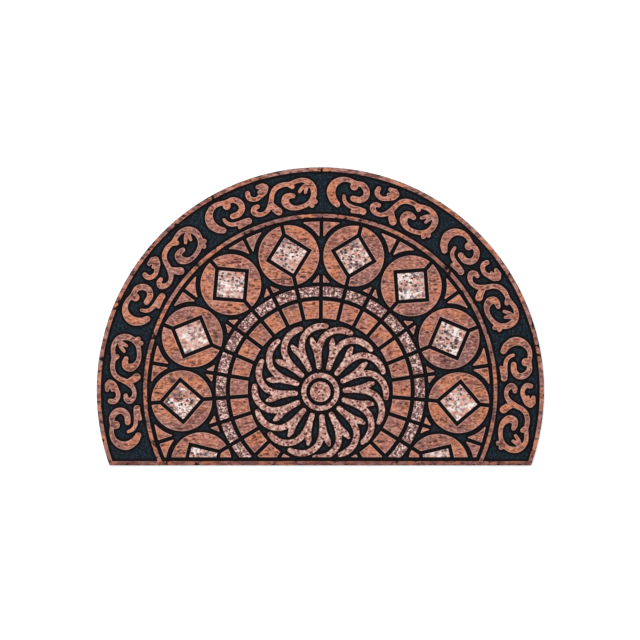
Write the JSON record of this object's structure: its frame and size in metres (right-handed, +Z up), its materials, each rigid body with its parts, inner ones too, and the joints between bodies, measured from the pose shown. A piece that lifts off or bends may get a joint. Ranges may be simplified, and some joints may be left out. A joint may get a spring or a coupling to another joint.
{
  "type": "half-round rubber doormat",
  "caption": "Half-round moulded rubber doormat with a raised stone-mosaic pattern: rim, scroll border, roundels with squares, tile rings and a leaf whorl, flocked in clay and rose.",
  "frame": {"origin": "on the floor at the middle of the mat's box", "axes": "+Z up out of the patterned face; +X along the straight edge, which faces -Y; +Y towards the top of the arc"},
  "size_m": [0.9, 0.6, 0.007],
  "materials": {
    "charcoal_rubber": "matt moulded crumb rubber, near black with a blue cast",
    "clay_flock": "short matt flock printed as clay-coloured stone, with orange and grey patches and dark flecks",
    "granite_flock": "short matt flock printed as pink granite with strong fine speckle",
    "rose_flock": "short matt flock printed as rose stone with sparse dark red flecks",
    "marble_flock": "short matt flock printed as pale marble with orange and blue-grey blotches"
  },
  "bodies": {
    "root": {"mat": "charcoal_rubber"}
  },
  "joints": []
}
